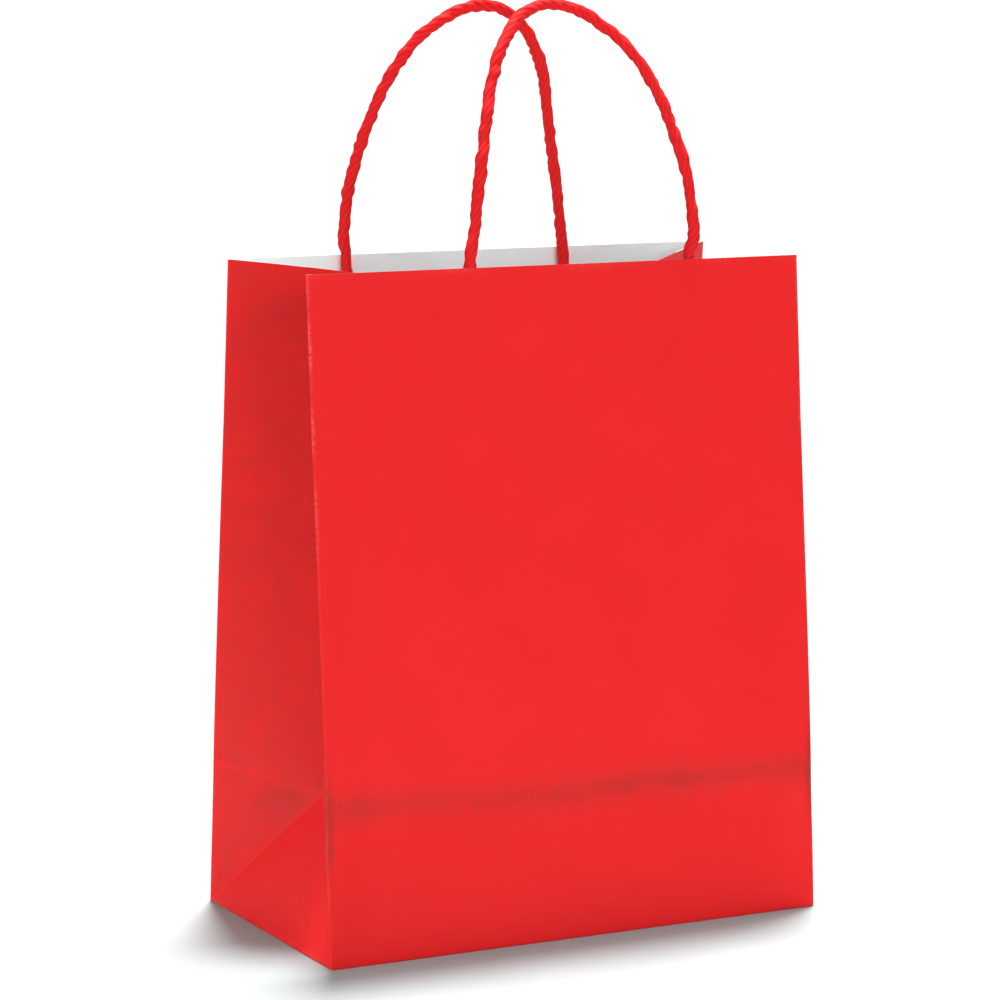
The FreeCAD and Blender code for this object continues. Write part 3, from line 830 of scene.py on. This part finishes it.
def patch(side):
    """The strip glued on the wall, and its cover, with the cord's ends between them."""
    name = WALL_NAME[side]
    low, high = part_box(name + "_patch_backing")
    backing_x = uneven(np.linspace(low.x, high.x, 90), 61 + side, 0.3 * MM)
    backing_s = uneven(np.linspace(PATCH_BOTTOM, PATCH_TOP, 30), 62 + side, 0.2 * MM)
    backing = overlay(name + "_patch_strip", side, backing_x, backing_s,
                      lambda x, s: np.full(x.shape, 2 * PAPER), 0.9 * PAPER, PATCH)
    place(backing, name + "_wall", "patch_paper", name + "_patch_backing")

    dense = [np.linspace(leg - 7 * MM, leg + 7 * MM, 57) for leg in LEGS[side]]
    plain = np.linspace(low.x + 0.7 * MM, high.x - 0.7 * MM, 60)
    clear = [min(abs(value - leg) for leg in LEGS[side]) > 7.3 * MM for value in plain]
    cover_x = np.sort(np.concatenate((plain[np.array(clear)], *dense)))
    cover_s = np.concatenate((np.linspace(PATCH_BOTTOM + 0.6 * MM, CORD_FOOT + 2 * MM, 16)[:-1],
                              np.linspace(CORD_FOOT + 2 * MM, PATCH_TOP - 0.5 * MM, 34)))

    def face(x, s):
        return 3 * PAPER + channel(side, x, s) + PUCKER * (1 + waves(x, s, 71 + side, 0.022))

    cover = overlay(name + "_patch_paper", side, cover_x, cover_s, face, 0.8 * PAPER, PATCH)
    place(cover, name + "_wall", "patch_paper", name + "_patch_cover")


def seam_tab():
    """The glue lap inside the rear wall, beside its left fold."""
    low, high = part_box("side_seam_tab")
    x = np.linspace(low.x, high.x, 16)
    s = np.linspace(low.z / math.cos(LEAN) + 0.4 * MM, high.z / math.cos(LEAN), 90)

    def face(x, s):
        lifted = 0.25 * MM * np.clip(waves(s, 0, 81, 0.05), 0, 1) * smooth((x - high.x + 3 * MM) / (3 * MM))
        return 2 * PAPER + 0.05 * MM + lifted

    piece = overlay("seam_lap_paper", REAR, x, s, face, PAPER, LINING)
    place(piece, "rear_wall", "bag_lining", "side_seam_tab")


# ---------------------------------------------------------------- handles

# The free loop of each handle, from pivot to pivot.
ROUTES = {
    FRONT: ((-0.0370, -0.0345, 0.2800), (-0.0335, -0.0325, 0.2980), (-0.0295, -0.0290, 0.3180),
            (-0.0245, -0.0240, 0.3380), (-0.0170, -0.0185, 0.3545), (-0.0075, -0.0140, 0.3655),
            (0.0025, -0.0120, 0.3705), (0.0115, -0.0118, 0.3710), (0.0205, -0.0128, 0.3685),
            (0.0315, -0.0150, 0.3630), (0.0430, -0.0195, 0.3515), (0.0525, -0.0250, 0.3345),
            (0.0585, -0.0298, 0.3140), (0.0630, -0.0326, 0.2970), (0.0630, -0.0345, 0.2800)),
    REAR: ((0.0390, 0.0345, 0.2800), (0.0355, 0.0325, 0.2985), (0.0305, 0.0290, 0.3190),
           (0.0255, 0.0237, 0.3390), (0.0180, 0.0185, 0.3545), (0.0080, 0.0144, 0.3645),
           (-0.0020, 0.0124, 0.3695), (-0.0115, 0.0120, 0.3705), (-0.0210, 0.0132, 0.3675),
           (-0.0320, 0.0158, 0.3610), (-0.0420, 0.0203, 0.3490), (-0.0490, 0.0250, 0.3345),
           (-0.0550, 0.0296, 0.3150), (-0.0600, 0.0327, 0.2965), (-0.0605, 0.0345, 0.2800)),
}
NECK_HEIGHT = JOINTS["front_neck_lean"]["pos_m"][2]
LOOP_HEIGHT = JOINTS["front_handle_swing"]["pos_m"][2]
SPLIT_HEIGHT = (NECK_HEIGHT + LOOP_HEIGHT) / 2
RING_STEP = 0.4 * MM            # from one ring of a cord's points to the next
RING_POINTS = 44
RIDGES = 6
TWIST_LENGTH = 25.0 * MM        # length of cord in which a ridge goes once round
GROOVE_DEPTH = 0.13             # as a share of the cord's radius, like the next two
STRAND_VARIATION = 0.19
GIRTH_VARIATION = 0.03
CORD_JITTER = 0.20 * MM         # how far the cord's middle strays from its smooth line


def spline_points(name, route):
    """Points read from the smooth NURBS line that has the route as its control points."""
    curve = bpy.data.curves.new(name, "CURVE")
    curve.dimensions = "3D"
    spline = curve.splines.new("NURBS")
    spline.points.add(len(route) - 1)
    for point, spot in zip(spline.points, route):
        point.co = (*spot, 1.0)
    spline.order_u = 3
    spline.use_endpoint_u = True
    spline.resolution_u = 40
    holder = bpy.data.objects.new(name, curve)
    bpy.context.scene.collection.objects.link(holder)
    bpy.context.view_layer.update()
    mesh = bpy.data.meshes.new_from_object(holder)
    points = np.array([vertex.co for vertex in mesh.vertices], float)
    bpy.data.objects.remove(holder)
    return points


def leg_route(side, leg, loop_end, loop_next):
    """A cord end: up the wall between the patch's papers, over the rim, and on into the loop."""
    heights = (CORD_FOOT, CORD_FOOT + 14 * MM, PATCH_TOP - 4 * MM, WALL_HEIGHT - 6 * MM)
    route = [wall_point(side, leg_x(side, leg, s), np.array(s), CORD_INWARD) for s in heights]
    pivot = WALL_HEIGHT + (NECK_HEIGHT - RIM_HEIGHT) / math.cos(LEAN)
    route.append(wall_point(side, np.array(leg), np.array(pivot), CORD_INWARD, flat=True))
    loop_end = np.array(loop_end)
    heading = np.array(loop_next) - loop_end
    route.append(loop_end - heading / np.linalg.norm(heading) * 4 * MM)
    route.append(loop_end)
    return [tuple(float(value) for value in point) for point in route]


def evenly(points, step):
    """The same line with its points evenly spaced."""
    gaps = np.linalg.norm(np.diff(points, axis=0), axis=1)
    keep = np.concatenate(([True], gaps > 1e-9))
    points = points[keep]
    along = np.concatenate(([0], np.cumsum(np.linalg.norm(np.diff(points, axis=0), axis=1))))
    count = int(round(along[-1] / step)) + 1
    even = np.linspace(0, along[-1], count)
    return np.stack([np.interp(even, along, points[:, k]) for k in range(3)], axis=-1), even


def cord_rings(line, along, seed):
    """Rings of points round a cord's line: strands that turn with its length, unevenly full."""
    heading = np.gradient(line, axis=0)
    heading /= np.linalg.norm(heading, axis=1, keepdims=True)
    across = np.empty_like(line)
    side = np.cross(heading[0], (0.0, 1.0, 0.0))
    for k, ahead in enumerate(heading):
        side = side - ahead * np.dot(side, ahead)
        side /= np.linalg.norm(side)
        across[k] = side
    up = np.cross(heading, across)
    theta = np.linspace(0, 2 * math.pi, RING_POINTS, endpoint=False)[None, :]
    twist = 2 * math.pi * along / TWIST_LENGTH + 0.5 * waves(along, 0, seed, 0.05)
    turned = theta - twist[:, None]
    groove = 1 - np.abs(np.cos(turned * RIDGES / 2)) ** 0.75
    fullness = np.zeros(turned.shape)
    for ridge in range(RIDGES):
        near = np.clip(np.cos(turned - 2 * math.pi * ridge / RIDGES), 0, 1) ** 5
        fullness += near * waves(along, 0, seed + 10 + ridge, 0.009)[:, None]
    radius = CORD_RADIUS * (0.99 + GIRTH_VARIATION * waves(along, 0, seed + 1, 0.024)[:, None]
                            - GROOVE_DEPTH * groove + STRAND_VARIATION * fullness)
    jitter = CORD_JITTER * (across * waves(along, 0, seed + 2, 0.02)[:, None]
                            + up * waves(along, 0, seed + 3, 0.02)[:, None])
    centre = line + jitter * smooth((line[:, 2:] - RIM_HEIGHT) / (20 * MM))
    rings = (centre[:, None, :] + across[:, None, :] * (radius * np.cos(theta))[:, :, None]
             + up[:, None, :] * (radius * np.sin(theta))[:, :, None])
    grain = np.stack((CORD_RADIUS * np.cos(turned), CORD_RADIUS * np.sin(turned),
                      np.broadcast_to(0.12 * along[:, None], turned.shape)), axis=-1)
    # The chart's third value is how much painted shade a point gets, most deep in a groove.
    chart = np.stack(np.broadcast_arrays(theta * CORD_RADIUS, along[:, None], groove ** 1.5), axis=-1)
    return rings, grain, chart


def cord_mesh(name, lengths):
    """One mesh from several lengths of cord, each with both ends closed."""
    points = []
    grains = []
    charts = []
    faces = []
    start = 0
    for rings, grain, chart in lengths:
        count = len(rings)
        for row in range(count - 1):
            for k in range(RING_POINTS):
                a = start + row * RING_POINTS + k
                b = start + row * RING_POINTS + (k + 1) % RING_POINTS
                faces.append((a, b, b + RING_POINTS, a + RING_POINTS))
        faces.append(tuple(start + k for k in reversed(range(RING_POINTS))))
        faces.append(tuple(start + (count - 1) * RING_POINTS + k for k in range(RING_POINTS)))
        points.append(rings.reshape(-1, 3))
        grains.append(grain.reshape(-1, 3))
        charts.append(chart.reshape(-1, 3))
        start += count * RING_POINTS
    mesh = bpy.data.meshes.new(name)
    mesh.from_pydata(np.vstack(points).tolist(), [], faces)
    mesh.materials.append(CORD)
    mesh.polygons.foreach_set("use_smooth", [True] * len(faces))
    store(mesh, "grain", np.vstack(grains))
    store(mesh, "chart", np.vstack(charts))
    mesh.set_sharp_from_angle(angle=math.radians(60))
    return link(mesh, name)


def handle(side):
    """One handle: a single cord from cut end to cut end, split at the joints it bends over."""
    name = WALL_NAME[side]
    route = ROUTES[side]
    first = spline_points("first_leg", leg_route(side, LEGS[side][0], route[0], route[1]))
    loop = spline_points("loop", route)
    last = spline_points("last_leg", leg_route(side, LEGS[side][1], route[-1], route[-2]))
    line, along = evenly(np.vstack((first, loop, last[::-1])), RING_STEP)
    rings, grain, chart = cord_rings(line, along, 100 + 20 * side)
    free = np.flatnonzero(line[:, 2] >= SPLIT_HEIGHT)
    begin, end = free[0], free[-1]

    def part(low, high):
        return rings[low:high], grain[low:high], chart[low:high]

    ends = cord_mesh(name + "_cord_ends", [part(0, begin + 1), part(end, len(line))])
    place(ends, None, "handle_cord", name + "_handle_ends", name + "_handle_necks")
    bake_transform(ends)
    arch = cord_mesh(name + "_cord_loop", [part(begin, end + 1)])
    place(arch, None, "handle_cord", name + "_handle_loop")
    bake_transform(arch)
    print("%s handle: free length %.1f mm, whole cord %.1f mm"
          % (name, (along[end] - along[begin]) / MM, along[-1] / MM))


# ---------------------------------------------------------------- studio

def plain_floor():
    """A pale floor, large enough to fill the view behind the bag."""
    half = 40.0
    corners = [(-half, -half, 0), (half, -half, 0), (half, half, 0), (-half, half, 0)]
    mesh = bpy.data.meshes.new("floor")
    mesh.from_pydata(corners, [], [(0, 1, 2, 3)])
    nodes = Nodes("pale_floor")
    nodes.shader.inputs["Base Color"].default_value = (0.32, 0.345, 0.345, 1.0)
    nodes.shader.inputs["Roughness"].default_value = 0.9
    nodes.shader.inputs["Specular IOR Level"].default_value = 0.0
    mesh.materials.append(nodes.material)
    link(mesh, "floor")


def soft_light(name, azimuth, elevation, spread, strength):
    """A wide, soft light from one direction; azimuth 0 is the front and 90 the right."""
    data = bpy.data.lights.new(name, "SUN")
    data.energy = strength
    data.angle = math.radians(spread)
    a = math.radians(azimuth)
    e = math.radians(elevation)
    towards = Vector((math.sin(a) * math.cos(e), -math.cos(a) * math.cos(e), math.sin(e)))
    lamp = bpy.data.objects.new(name, data)
    lamp.rotation_mode = "QUATERNION"
    lamp.rotation_quaternion = towards.to_track_quat("Z", "Y")
    bpy.context.scene.collection.objects.link(lamp)


def strip_light(name, towards, centre, width, power):
    """A long low light beside the bag, which evens out the lower part of one side of it."""
    data = bpy.data.lights.new(name, "AREA")
    data.shape = "RECTANGLE"
    data.size = width
    data.size_y = 0.05
    data.energy = power
    lamp = bpy.data.objects.new(name, data)
    lamp.location = centre
    lamp.rotation_mode = "QUATERNION"
    lamp.rotation_quaternion = (-Vector(towards)).to_track_quat("Z", "Y")
    lamp.visible_camera = False
    bpy.context.scene.collection.objects.link(lamp)


def studio():
    """The floor, an even light all round, and the lamps."""
    plain_floor()
    world = bpy.data.worlds.new("studio")
    world.use_nodes = True
    world.node_tree.nodes["Background"].inputs["Color"].default_value = (1.0, 1.0, 1.0, 1.0)
    world.node_tree.nodes["Background"].inputs["Strength"].default_value = 0.20
    bpy.context.scene.world = world
    soft_light("overhead", azimuth=146, elevation=76.5, spread=9, strength=6.9)
    soft_light("overhead_wide", azimuth=126, elevation=68, spread=34, strength=2.6)
    soft_light("front_key", azimuth=-2, elevation=9, spread=28, strength=1.25)
    soft_light("left_fill", azimuth=-80, elevation=45, spread=40, strength=1.15)
    strip_light("front_strip", towards=(0, 1, 0.15), centre=(0.0, -0.22, 0.02), width=0.30, power=0.035)
    strip_light("left_strip", towards=(1, 0, 0.10), centre=(-0.24, 0.0, 0.02), width=0.18, power=0.05)
    bpy.context.scene.view_settings.view_transform = "Standard"


# ---------------------------------------------------------------- assembly

for wall_side in (FRONT, REAR):
    handle(wall_side)
    wall(wall_side)
    patch(wall_side)
    base_flap(wall_side)
    for bag_end in (LEFT, RIGHT):
        gusset_half(wall_side, bag_end)
for bag_end in (LEFT, RIGHT):
    gusset_foot(bag_end)
    base_tuck(bag_end)
seam_tab()
base_card()
studio()
